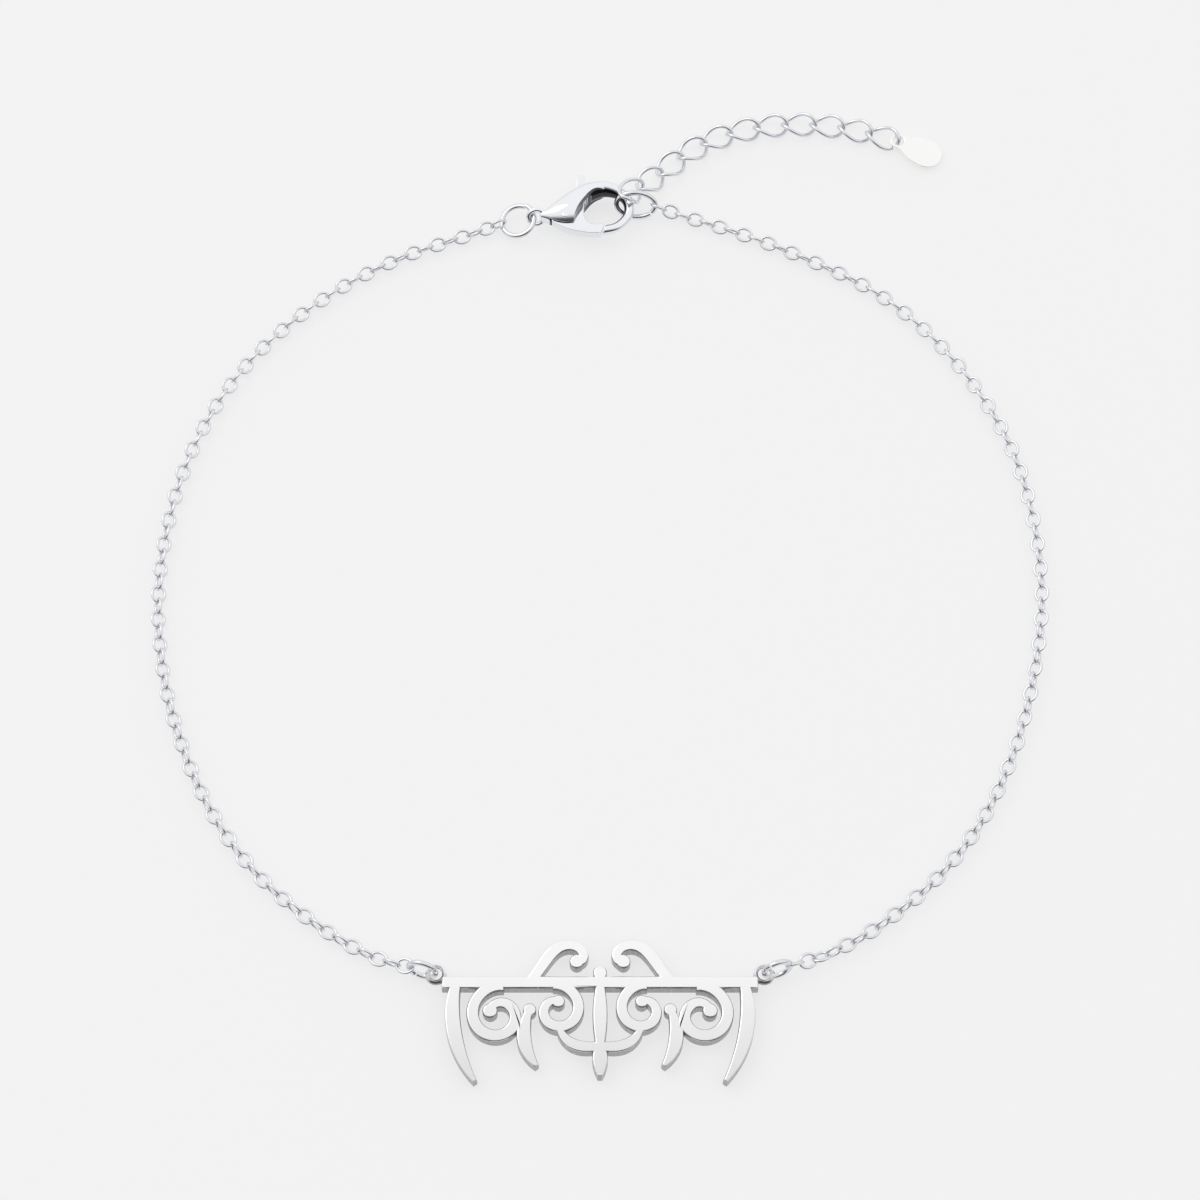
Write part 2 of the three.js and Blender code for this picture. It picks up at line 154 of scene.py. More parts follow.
def castSolid(name, base, steps, voxel, rounds):
    # joins and cuts, then one skin with softly rounded edges as on a polished casting
    core = addObject(name, base)
    tools = []
    for operation, mesh in steps:
        tool = addObject(name + "Tool", mesh)
        tools.append(tool)
        cut = core.modifiers.new("join", "BOOLEAN")
        cut.operation = operation
        cut.solver = "EXACT"
        cut.object = tool
    skin = core.modifiers.new("skin", "REMESH")
    skin.mode = "VOXEL"
    skin.voxel_size = voxel
    skin.use_smooth_shade = True
    polish = core.modifiers.new("polish", "SMOOTH")
    polish.factor = 0.5
    polish.iterations = rounds
    mesh = evaluated(core, name)
    for tool in tools:
        bpy.data.objects.remove(tool, do_unlink=True)
    return mesh


# Helpers for node trees

def put(tree, kind, inputs=None, **settings):
    made = tree.nodes.new(kind)
    for key, value in settings.items():
        setattr(made, key, value)
    for key, value in (inputs or {}).items():
        if isinstance(value, bpy.types.NodeSocket):
            tree.links.new(value, made.inputs[key])
        else:
            made.inputs[key].default_value = value
    return made


def mathNode(tree, operation, a, b=0.0):
    return put(tree, "ShaderNodeMath", {0: a, 1: b}, operation=operation).outputs[0]


def newGeometryTree(name, sockets):
    tree = bpy.data.node_groups.new(name, "GeometryNodeTree")
    for label, kind in sockets:
        tree.interface.new_socket(label, in_out="INPUT", socket_type="NodeSocket" + kind)
    tree.interface.new_socket("Geometry", in_out="OUTPUT", socket_type="NodeSocketGeometry")
    return tree, put(tree, "NodeGroupInput").outputs


def runTree(obj, tree, values, name):
    # every input is set by its identifier before the first evaluation
    nodes = obj.modifiers.new("build", "NODES")
    nodes.node_group = tree
    for item in tree.interface.items_tree:
        if item.in_out == "INPUT" and item.name in values:
            nodes[item.identifier] = values[item.name]
    return evaluated(obj, name)


# Silver finishes

silverFinish = {
    # bar: its polished face is given painted shade, a base colour that grows darker towards -Y
    "bar": {"colour": (0.95, 0.95, 0.95), "rough": (0.10, 0.2), "grain": 2600, "stretch": (1, 6, 1),
            "bump": 0.02, "paintedShadeAlongY": (-0.0297, -0.0366, 0.80)},
    # edge: painted shade, a dark base colour on the bar's cut walls in place of the dark reflections they show
    "edge": {"colour": (0.36, 0.36, 0.37), "rough": (0.22, 0.4), "grain": 9000, "stretch": (1, 1, 0.15),
             "bump": 0.1},
    "wire": {"colour": (0.78, 0.785, 0.82), "rough": (0.10, 0.22), "grain": 5200, "stretch": (1, 1, 1),
             "bump": 0.04},
    # clasp: its near-black second colour is painted shade for the inner walls, in place of their dark reflections
    "clasp": {"colour": (0.88, 0.89, 0.93), "rough": (0.04, 0.1), "grain": 3200, "stretch": (1, 1, 1),
              "bump": 0.01, "recessShade": (0.05, 0.05, 0.055)},
    "tag": {"colour": (0.96, 0.96, 0.95), "rough": (0.14, 0.26), "grain": 2400, "stretch": (1, 4, 1),
            "bump": 0.02},
}


def silverMaterial(name, colour, rough, grain, stretch, bump, paintedShadeAlongY=None, recessShade=None):
    material = bpy.data.materials.new(name)
    material.use_nodes = True
    tree = material.node_tree
    shader = tree.nodes["Principled BSDF"]
    shader.inputs["Metallic"].default_value = 1
    place = put(tree, "ShaderNodeTexCoord").outputs["Object"]
    spread = put(tree, "ShaderNodeMapping", {"Vector": place, "Scale": stretch}).outputs[0]
    fine = put(tree, "ShaderNodeTexNoise", {"Vector": spread, "Scale": grain, "Detail": 5.0}).outputs[0]
    broad = put(tree, "ShaderNodeTexNoise", {"Vector": place, "Scale": grain / 9, "Detail": 2.0}).outputs[0]
    # polish that varies a little, with hairlines from wear
    wear = put(tree, "ShaderNodeMapRange", {0: fine, 1: 0.35, 2: 0.7, 3: rough[0], 4: rough[1]}).outputs[0]
    tree.links.new(wear, shader.inputs["Roughness"])
    dull = [0.94 * c for c in colour]
    tone = put(tree, "ShaderNodeMix", {0: broad, 6: (*dull, 1), 7: (*colour, 1)}, data_type="RGBA").outputs[2]
    if paintedShadeAlongY:  # painted shade: the base colour darkens along Y, from the first height to the second, down to the third value's share
        y = put(tree, "ShaderNodeSeparateXYZ", {0: place}).outputs["Y"]
        level = put(tree, "ShaderNodeMapRange", {0: y, 1: paintedShadeAlongY[0], 2: paintedShadeAlongY[1], 3: 1.0, 4: paintedShadeAlongY[2]}).outputs[0]
        tone = put(tree, "ShaderNodeVectorMath", {0: tone, "Scale": level}, operation="SCALE").outputs[0]
    if recessShade:  # painted shade: inner walls marked on the mesh get a near-black base colour in place of dark reflections
        mark = put(tree, "ShaderNodeAttribute", attribute_name="recessShade").outputs["Fac"]
        tone = put(tree, "ShaderNodeMix", {0: mark, 6: tone, 7: (*recessShade, 1)}, data_type="RGBA").outputs[2]
    tree.links.new(tone, shader.inputs["Base Color"])
    relief = put(tree, "ShaderNodeBump", {"Height": fine, "Strength": bump, "Distance": 0.00002}).outputs[0]
    tree.links.new(relief, shader.inputs["Normal"])
    return material


silver = {key: silverMaterial(key + "Silver", **row) for key, row in silverFinish.items()}
print("silver finishes ready")


# Wire loop that the chains repeat: a flat oval, or one twisted about its length

loopSockets = [("Half Length", "Float"), ("Half Width", "Float"), ("Wire", "Float"), ("Twist", "Float"),
               ("Steps", "Int"), ("Sides", "Int")]


def wireLoopTree():
    tree, given = newGeometryTree("wireLoop", loopSockets)
    circle = put(tree, "GeometryNodeCurvePrimitiveCircle", {"Resolution": given["Steps"], "Radius": 1.0})
    at = put(tree, "ShaderNodeSeparateXYZ", {0: put(tree, "GeometryNodeInputPosition").outputs[0]}).outputs
    lean = mathNode(tree, "MULTIPLY", mathNode(tree, "MULTIPLY", given["Twist"], 0.5), at[0])
    across = mathNode(tree, "MULTIPLY", given["Half Width"], at[1])
    spot = put(tree, "ShaderNodeCombineXYZ", {
        0: mathNode(tree, "MULTIPLY", given["Half Length"], at[0]),
        1: mathNode(tree, "MULTIPLY", across, mathNode(tree, "COSINE", lean)),
        2: mathNode(tree, "MULTIPLY", across, mathNode(tree, "SINE", lean)),
    }).outputs[0]
    loop = put(tree, "GeometryNodeSetPosition", {"Geometry": circle.outputs[0], "Position": spot}).outputs[0]
    section = put(tree, "GeometryNodeCurvePrimitiveCircle", {
        "Resolution": given["Sides"], "Radius": mathNode(tree, "MULTIPLY", given["Wire"], 0.5),
    }).outputs[0]
    skin = put(tree, "GeometryNodeCurveToMesh", {"Curve": loop, "Profile Curve": section}).outputs[0]
    smooth = put(tree, "GeometryNodeSetShadeSmooth", {"Geometry": skin}).outputs[0]
    put(tree, "NodeGroupOutput", {"Geometry": smooth})
    return tree


wireLoop = wireLoopTree()


def linkIn(tree, given):
    sizes = {label: given[label] for label, kind in loopSockets}
    return put(tree, "GeometryNodeGroup", sizes, node_tree=wireLoop).outputs[0]


def laidOut(tree, instances, given):
    # copies become one plain mesh with its finish
    real = put(tree, "GeometryNodeRealizeInstances", {"Geometry": instances}).outputs[0]
    done = put(tree, "GeometryNodeSetMaterial", {"Geometry": real, "Material": given["Finish"]}).outputs[0]
    put(tree, "NodeGroupOutput", {"Geometry": done})


# Trace chain: links threaded along a route, every second one turned a quarter

traceChain = {
    "link": {"Half Length": 0.578, "Half Width": 0.445, "Wire": 0.21, "Twist": 0.0, "Steps": 24, "Sides": 9},
    "pitch": 0.955,
    "wobble": 5.0,  # degrees that a link leans out of turn
    "seed": 4,
    "left": {
        "firstRoll": 90.0,
        "even": True,  # an even number of links, so that the last lies flat
        "twist": [(0.0, -6), (0.03, -22), (0.2, -24), (0.35, -28), (0.65, -28), (0.8, -12), (0.97, -8), (1.0, 4)],
        "route": [
            (-7.4, 26.86, 0.555), (-9.5, 25.95, 0.55), (-14.2, 24.1, 0.55), (-18.7, 21.45, 0.55), (-22.8, 17.9, 0.55),
            (-26.2, 13.5, 0.55), (-28.6, 8.2, 0.55), (-29.9, 2.5, 0.55), (-30.2, -3.3, 0.55), (-29.45, -9.05, 0.55),
            (-27.75, -14.5, 0.55), (-25.25, -19.5, 0.55), (-21.9, -23.7, 0.55), (-17.9, -26.95, 0.55),
            (-14.6, -28.8, 0.56), (-12.54, -29.53, 0.98),
        ],
    },
    "right": {
        "firstRoll": 90.0,
        "even": True,
        "twist": [(0.0, 34), (0.03, 24), (0.2, 24), (0.35, 28), (0.65, 28), (0.8, 12), (0.97, 8), (1.0, -4)],
        "route": [
            (4.28, 28.04, 0.97), (6.2, 27.5, 0.55), (8.2, 26.8, 0.55), (13.0, 24.85, 0.55), (19.1, 21.6, 0.55),
            (23.2, 18.0, 0.55), (26.5, 13.45, 0.55), (28.9, 8.2, 0.55), (30.05, 2.5, 0.55), (30.2, -3.3, 0.55),
            (29.3, -9.0, 0.55), (27.65, -14.4, 0.55), (25.2, -19.4, 0.55), (21.9, -23.55, 0.55), (17.95, -26.8, 0.55),
            (14.6, -28.65, 0.56), (12.53, -29.40, 0.98),
        ],
    },
}


def threadTree():
    tree, given = newGeometryTree("traceChain", [
        ("Route", "Geometry"), *loopSockets, ("Count", "Int"), ("First Roll", "Float"), ("Wobble", "Float"),
        ("Seed", "Int"), ("Finish", "Material"),
    ])
    curve = put(tree, "GeometryNodeMeshToCurve", {"Mesh": given["Route"]}).outputs[0]
    even = put(tree, "GeometryNodeResampleCurve", {
        "Curve": curve, "Count": given["Count"],
    }, mode="COUNT").outputs[0]
    spots = put(tree, "GeometryNodeCurveToPoints", {"Curve": even}, mode="EVALUATED").outputs
    heading = put(tree, "FunctionNodeAlignRotationToVector", {"Vector": spots["Tangent"]}, axis="X").outputs[0]
    index = put(tree, "GeometryNodeInputIndex").outputs[0]
    quarter = mathNode(tree, "MULTIPLY", mathNode(tree, "MODULO", index, 2.0), math.pi / 2)
    twist = put(tree, "GeometryNodeInputNamedAttribute", {"Name": "twist"}, data_type="FLOAT").outputs["Attribute"]
    stray = put(tree, "FunctionNodeRandomValue", {"ID": index, "Seed": given["Seed"]}, data_type="FLOAT")
    stray.inputs[2].default_value = -1.0
    stray.inputs[3].default_value = 1.0
    lean = mathNode(tree, "MULTIPLY", stray.outputs[1], given["Wobble"])
    laid = mathNode(tree, "ADD", quarter, given["First Roll"])
    roll = mathNode(tree, "ADD", laid, mathNode(tree, "ADD", twist, lean))
    rolled = put(tree, "FunctionNodeAxisAngleToRotation", {"Axis": (1, 0, 0), "Angle": roll}).outputs[0]
    turn = put(tree, "FunctionNodeRotateRotation", {
        "Rotation": heading, "Rotate By": rolled,
    }, rotation_space="LOCAL")
    copies = put(tree, "GeometryNodeInstanceOnPoints", {
        "Points": spots["Points"], "Instance": linkIn(tree, given), "Rotation": turn.outputs[0],
    }).outputs[0]
    laidOut(tree, copies, given)
    return tree


def routeMesh(points, twist, stepsPerSpan=12):
    line = splineThrough(points, stepsPerSpan)
    reach = [0.0]
    for a, b in zip(line, line[1:]):
        reach.append(reach[-1] + (b - a).length)
    mesh = bpy.data.meshes.new("route")
    mesh.from_pydata(line, [(i, i + 1) for i in range(len(line) - 1)], [])
    marks = mesh.attributes.new("twist", "FLOAT", "POINT")
    for spot, distance in zip(marks.data, reach):
        share = distance / reach[-1]
        for (s0, d0), (s1, d1) in zip(twist, twist[1:]):
            if s0 <= share <= s1:
                spot.value = math.radians(d0 + (d1 - d0) * (share - s0) / (s1 - s0))
    return mesh, reach[-1]


def makeChains():
    tree = threadTree()
    for side in ("left", "right"):
        run = traceChain[side]
        mesh, length = routeMesh(run["route"], run["twist"])
        count = math.ceil(length / traceChain["pitch"]) + 1
        if (count % 2 == 0) != run["even"]:
            count += 1
        values = dict(traceChain["link"], Count=count, Wobble=math.radians(traceChain["wobble"]),
                      Seed=traceChain["seed"], Finish=silver["wire"])
        values["First Roll"] = math.radians(run["firstRoll"])
        built = runTree(addObject("route", mesh), tree, values, "chain")
        finishPiece("trace_chain_" + side, placed(built), [silver["wire"]], "wire_silver", body,
                    "chain_" + side)
        print("chain", side, count, "links at", round(length / (count - 1), 4), "mm")


makeChains()


# Split rings of round wire

splitRings = {
    "steps": 48,
    "sides": 12,
    "gap": 0.14,  # mm between the two cut ends
    "rows": [
        {"name": "jump_ring_left", "a": 0.9, "b": 0.9, "wire": 0.36, "heading": 165, "slope": 0, "roll": -80,
         "at": (-11.419, -29.817, 1.09), "seam": 60, "offset": 0.05},
        {"name": "jump_ring_right", "a": 0.9, "b": 0.9, "wire": 0.36, "heading": 18, "slope": 0, "roll": 80,
         "at": (11.406, -29.772, 1.09), "seam": 120, "offset": 0.05},
        {"name": "clasp_ring", "a": 1.22, "b": 1.22, "wire": 0.38, "heading": 4, "slope": -13, "roll": 6,
         "at": (-5.967, 27.056, 0.72), "seam": 58, "offset": 0.3},
        {"name": "end_ring", "a": 1.43, "b": 0.92, "wire": 0.38, "heading": -4, "slope": 0, "roll": 55,
         "at": (2.62, 28.2, 1.06), "seam": -38, "offset": 0.1},
    ],
}


def splitRing(row):
    # the wire starts and ends at the seam, and its ends pass each other by the offset
    half = splitRings["gap"] / (row["a"] + row["b"])
    seam = math.radians(row["seam"])
    rings = []
    for i in range(splitRings["steps"] + 1):
        t = i / splitRings["steps"]
        angle = seam + half + t * (2 * math.pi - 2 * half)
        centre = Vector((row["a"] * math.cos(angle), row["b"] * math.sin(angle), (t - 0.5) * row["offset"]))
        outward = Vector((row["b"] * math.cos(angle), row["a"] * math.sin(angle), 0)).normalized()
        ring = []
        for k in range(splitRings["sides"]):
            turn = 2 * math.pi * k / splitRings["sides"]
            edge = math.cos(turn) * outward + math.sin(turn) * Vector((0, 0, 1))
            ring.append(centre + row["wire"] / 2 * edge)
        rings.append(ring)
    mesh = tubeMesh(rings, capped=True)
    smoothByAngle(mesh, 50)
    return placed(mesh, row["at"], turnOf(row))


def smoothByAngle(mesh, degrees):
    mesh.shade_smooth()
    mesh.set_sharp_from_angle(angle=math.radians(degrees))


for row in splitRings["rows"]:
    finishPiece(row["name"] + "_split", splitRing(row), [silver["wire"]], "wire_silver", body, row["name"])
print("split rings closed")


# Extender: twisted open links, each turned a little on from the last

extender = {
    "link": {"Half Length": 1.24, "Half Width": 0.86, "Wire": 0.28, "Twist": math.pi / 2,
             "Steps": 40, "Sides": 10},
    "pitch": 2.1,
    "restZ": 0.5,
    "ringOffset": -0.65,
    "clearance": 0.32,
    "rows": [
        {"heading": 45, "slope": 28, "roll": 34}, {"heading": 46, "slope": 11, "roll": 16},
        {"heading": 44, "slope": 2, "roll": 5}, {"heading": 36, "slope": 0}, {"heading": 24, "slope": 0},
        {"heading": 15, "slope": 0}, {"heading": 7, "slope": 0}, {"heading": 0, "slope": 0},
        {"heading": -6, "slope": 0}, {"heading": -14, "slope": 0}, {"heading": -20, "slope": 0},
    ],
}


def extenderTree():
    tree, given = newGeometryTree("extender", [("Spots", "Geometry"), *loopSockets, ("Finish", "Material")])
    turn = put(tree, "GeometryNodeInputNamedAttribute", {"Name": "turn"}, data_type="FLOAT_VECTOR")
    spin = put(tree, "FunctionNodeEulerToRotation", {0: turn.outputs["Attribute"]}).outputs[0]
    spots = put(tree, "GeometryNodeMeshToPoints", {"Mesh": given["Spots"]}).outputs[0]
    copies = put(tree, "GeometryNodeInstanceOnPoints", {
        "Points": spots, "Instance": linkIn(tree, given), "Rotation": spin,
    }).outputs[0]
    laidOut(tree, copies, given)
    return tree


def extenderCentres():
    ring = splitRings["rows"][3]
    size = extender["link"]
    angle = math.acos(extender["ringOffset"] / ring["a"])
    strand = Vector((ring["a"] * math.cos(angle), ring["b"] * math.sin(angle), 0))
    strand = turnOf(ring).to_matrix() @ strand + Vector(ring["at"])
    hold = size["Half Length"] - size["Wire"] / 2 - ring["wire"] / 2 - extender["clearance"]
    centre = strand + hold * directionOf(extender["rows"][0])
    centres = []
    before = None
    for row in extender["rows"]:
        if before:
            centre = centre + extender["pitch"] / 2 * (directionOf(before) + directionOf(row))
        centre.z = max(centre.z, extender["restZ"])
        centres.append(centre.copy())
        before = row
    return centres


def makeExtender(centres):
    mesh = bpy.data.meshes.new("spots")
    mesh.from_pydata(centres, [], [])
    turns = mesh.attributes.new("turn", "FLOAT_VECTOR", "POINT")
    for spot, row in zip(turns.data, extender["rows"]):
        spot.vector = turnOf(row)
    values = dict(extender["link"], Finish=silver["wire"])
    built = runTree(addObject("spots", mesh), extenderTree(), values, "extender")
    names = ["extender_link_%02d" % (i + 1) for i in range(len(centres))]
    finishPiece("extender_chain", placed(built), [silver["wire"]], "wire_silver", body, *names)


centres = extenderCentres()
makeExtender(centres)
print("extender hung from the end ring")


# End tag: a drop with softly domed faces

endTag = {
    "length": 4.15, "halfWidth": 1.18, "neckHalfWidth": 0.62, "thickness": 0.4,
    "holeRadius": 0.4, "holeFromTip": 0.72, "flankBend": 0.4, "heading": -26, "slope": 4.5,
    "dome": {"x": 1.3, "halfLength": 3.4, "halfWidth": 2.6, "halfHeight": 0.215},
    "voxel": 0.03, "rounds": 8,
}


def tagOutline():
    size = endTag
    middle = size["length"] - size["holeFromTip"] - size["halfWidth"]
    flank = middle * size["flankBend"]
    upper = []
    for i in range(33):
        a = -math.pi / 2 + math.pi * i / 32
        upper.append((middle + size["halfWidth"] * math.cos(a), size["halfWidth"] * math.sin(a)))
    side = []
    for i in range(1, 24):
        t = i / 24
        x = middle * (1 - t)**3 + 3 * flank * ((1 - t)**2 * t + (1 - t) * t**2)
        width = size["halfWidth"] * (1 - t)**2 * (1 + 2 * t) + size["neckHalfWidth"] * t**2 * (3 - 2 * t)
        side.append((x, width))
    neck = []
    for i in range(25):
        a = math.pi / 2 + math.pi * i / 24
        neck.append((size["neckHalfWidth"] * math.cos(a), size["neckHalfWidth"] * math.sin(a)))
    return upper + side + neck + [(x, -w) for x, w in reversed(side)]


def ellipsoidMesh(halfLength, halfWidth, halfHeight, matrix):
    bm = bmesh.new()
    bmesh.ops.create_uvsphere(bm, u_segments=128, v_segments=64, radius=1)
    bm.transform(matrix @ Matrix.Diagonal((halfLength, halfWidth, halfHeight, 1)))
    return meshFrom("puff", bm)


def makeTag(lastCentre):
    size = endTag
    link = extender["link"]
    lastEnd = lastCentre + (link["Half Length"] - link["Wire"] / 2) * directionOf(extender["rows"][-1])
    at = lastEnd + (size["holeRadius"] - link["Wire"]) * directionOf(size)
    dome = size["dome"]
    shape = prismMesh(tagOutline(), -size["thickness"] / 2, size["thickness"])
    lens = ellipsoidMesh(dome["halfLength"], dome["halfWidth"], dome["halfHeight"],
                         Matrix.Translation((dome["x"], 0, 0)))
    hole = prismMesh(discOutline(0, 0, size["holeRadius"], 40), -1, 2)
    mesh = castSolid("tag", shape, [("INTERSECT", lens), ("DIFFERENCE", hole)], size["voxel"], size["rounds"])
    finishPiece("end_tag_drop", placed(mesh, at, turnOf(size)), [silver["tag"]], "wire_silver", body,
                "end_tag")


makeTag(centres[-1])
print("end tag hung on the last link")


# Openwork bar: a mirrored scroll pattern cut from plate, with softened edges

openworkBar = {
    "thickness": 1.15, "topY": -30.25, "height": 0.8, "halfLength": 10.15,
    "strokeSteps": 28, "voluteSteps": 54, "ballSides": 40, "softEdge": 0.14, "softSteps": 4,
    "eyelet": {"x": 10.55, "up": 0.2, "outer": 0.68, "hole": 0.42, "thickness": 0.45, "sides": 48},
    # right half, v = 0 at the bar's top edge: four points of a bend, then widths at start, middle and end
    "strokes": [
        ((9.2, -0.35), (9.8, -2.4), (9.3, -4.9), (7.9, -6.9), (0.6, 1.0, 0.3)),
        ((4.55, -2.3), (5.1, -3.7), (4.9, -4.8), (4.0, -5.9), (0.45, 0.95, 0.3)),
        ((2.55, -3.55), (2.1, -4.6), (1.1, -4.75), (0, -4.6), (0.45, 0.75, 0.6)),
        ((4.7, -0.4), (3.7, 0.2), (3.4, 2.1), (2.0, 2.1), (0.6, 0.8, 0.72)),
        ((2.05, 2.1), (1.0, 2.1), (0.75, 1.1), (1.45, 0.95), (0.72, 0.66, 0.6)),
    ],
    "middleStrokes": [
        ((0, -0.4), (0, -1.9), (0, -3.2), (0, -4.7), (0.5, 0.95, 0.5)),
        ((0, -4.5), (0, -5.1), (0, -5.8), (0, -6.6), (0.5, 1.0, 0.3)),
    ],
    "volutes": [
        {"centre": (6.5, -2.55), "start": 100, "turns": -1.2, "radii": (1.95, 0.6), "widths": (0.7, 0.8, 0.55),
         "bulb": 0.48},
        {"centre": (2.75, -2.2), "start": 80, "turns": 1.05, "radii": (1.65, 0.55), "widths": (0.65, 0.75, 0.5),
         "bulb": 0.42},
    ],
    "balls": [((1.5, 1.0), 0.46), ((4.5, -2.2), 0.42)],
    "middleBall": ((0, 0.25), 0.45),
}


def ribbonOutline(line, widths):
    left, right = [], []
    last = len(line) - 1
    for i, point in enumerate(line):
        ahead = (line[min(i + 1, last)] - line[max(i - 1, 0)]).normalized()
        side = Vector((-ahead.y, ahead.x)) * along(widths, i / last) / 2
        left.append(point + side)
        right.append(point - side)
    return right + left[::-1]


def barOutlines():
    bar = openworkBar
    outlines = []

    def addBend(row, side):
        a, b, c, d = (Vector((side * u, v)) for u, v in row[:4])
        line = []
        for i in range(bar["strokeSteps"] + 1):
            t = i / bar["strokeSteps"]
            line.append((1 - t)**3 * a + 3 * (1 - t)**2 * t * b + 3 * (1 - t) * t**2 * c + t**3 * d)
        outlines.append(ribbonOutline(line, row[4]))

    def addVolute(row, side):
        line = []
        for i in range(bar["voluteSteps"] + 1):
            t = i / bar["voluteSteps"]
            angle = math.radians(row["start"]) + 2 * math.pi * row["turns"] * t
            radius = row["radii"][0] + (row["radii"][1] - row["radii"][0]) * t
            u = row["centre"][0] + radius * math.cos(angle)
            line.append(Vector((side * u, row["centre"][1] + radius * math.sin(angle))))
        outlines.append(ribbonOutline(line, row["widths"]))
        outlines.append(discOutline(*line[-1], row["bulb"], bar["ballSides"]))

    reach, low = bar["halfLength"], -bar["height"]
    outlines.append([(-reach, low), (reach, low), (reach, 0), (-reach, 0)])
    for side in (1, -1):
        for row in bar["strokes"]:
            addBend(row, side)
        for row in bar["volutes"]:
            addVolute(row, side)
        for (u, v), radius in bar["balls"]:
            outlines.append(discOutline(side * u, v, radius, bar["ballSides"]))
    for row in bar["middleStrokes"]:
        addBend(row, 1)
    (u, v), radius = bar["middleBall"]
    outlines.append(discOutline(u, v, radius, bar["ballSides"]))
    return outlines


def softPlate(outlines, thickness, softEdge, softSteps):
    # one flat region from the overlapping outlines, given its thickness and rounded rims
    points, rings = [], []
    for outline in outlines:
        rings.append(list(range(len(points), len(points) + len(outline))))
        points += [Vector(p) for p in outline]
    spots, _, triangles, _, _, owners = delaunay_2d_cdt(points, [], rings, 1, 1e-4)
    bm = bmesh.new()
    verts = [bm.verts.new((p.x, p.y, 0)) for p in spots]
    for triangle, owner in zip(triangles, owners):
        if owner:  # open spaces between the strokes belong to no outline
            bm.faces.new([verts[i] for i in triangle])
    bmesh.ops.delete(bm, geom=[v for v in bm.verts if not v.link_faces], context="VERTS")
    bmesh.ops.remove_doubles(bm, verts=bm.verts, dist=0.02)
    bmesh.ops.recalc_face_normals(bm, faces=bm.faces)
    bmesh.ops.dissolve_limit(bm, angle_limit=math.radians(1.0), verts=bm.verts, edges=bm.edges)
    made = bmesh.ops.extrude_face_region(bm, geom=list(bm.faces))
    top = [v for v in made["geom"] if isinstance(v, bmesh.types.BMVert)]
    bmesh.ops.translate(bm, verts=top, vec=(0, 0, thickness))
    bmesh.ops.recalc_face_normals(bm, faces=bm.faces)
    rims = [e for e in bm.edges if len(e.link_faces) == 2 and abs(e.verts[0].co.z - e.verts[1].co.z) < 1e-6
            and e.calc_face_angle() > 1]
    bmesh.ops.bevel(bm, geom=rims, offset=softEdge, offset_type="OFFSET", segments=softSteps, profile=0.5,
                    affect="EDGES", clamp_overlap=False)
    return meshFrom("plate", bm)


def eyeletMesh(side):
    size = openworkBar["eyelet"]
    top = openworkBar["thickness"]
    low = top - size["thickness"]
    soft = openworkBar["softEdge"]
    profile = [(size["hole"], low), (size["outer"], low), (size["outer"], top - soft), (size["outer"] - soft, top),
               (size["hole"] + soft, top), (size["hole"], top - soft)]
    rings = []
    for i in range(size["sides"]):
        a = 2 * math.pi * i / size["sides"]
        rings.append([(side * size["x"] + r * math.cos(a), size["up"] + r * math.sin(a), z) for r, z in profile])
    return tubeMesh(rings, closed=True)


def makeBar():
    bar = openworkBar
    plate = addObject("plate", softPlate(barOutlines(), bar["thickness"], bar["softEdge"], bar["softSteps"]))
    tools = []
    for side in (-1, 1):
        size = bar["eyelet"]
        hole = prismMesh(discOutline(side * size["x"], size["up"], size["hole"], size["sides"]), -1, 4)
        for operation, mesh in (("DIFFERENCE", hole), ("UNION", eyeletMesh(side))):
            tool = addObject("eyeletTool", mesh)
            tools.append(tool)
            cut = plate.modifiers.new("eyelet", "BOOLEAN")
            cut.operation = operation
            cut.solver = "EXACT"
            cut.object = tool
    mesh = evaluated(plate, "openwork_bar")
    for tool in tools:
        bpy.data.objects.remove(tool, do_unlink=True)
    smoothByAngle(mesh, 40)
    smoothed = addObject("plate", mesh)
    weights = smoothed.modifiers.new("flat faces stay flat", "WEIGHTED_NORMAL")
    weights.keep_sharp = True
    mesh = evaluated(smoothed, "openwork_bar")
    placed(mesh, (0, bar["topY"], 0))
    obj = finishPiece("openwork_bar", mesh, [silver["bar"], silver["edge"]], "bar_silver", body, "name_bar")
    for polygon in obj.data.polygons:  # cut walls take the edge finish, whose dark base colour is painted shade standing in for the dark reflections on the walls
        polygon.material_index = 1 if abs(polygon.normal.z) < 0.3 else 0


makeBar()
print("openwork bar cut")


# Lobster clasp in its own plan: eye at the origin, x to the hook, gate on the -y side

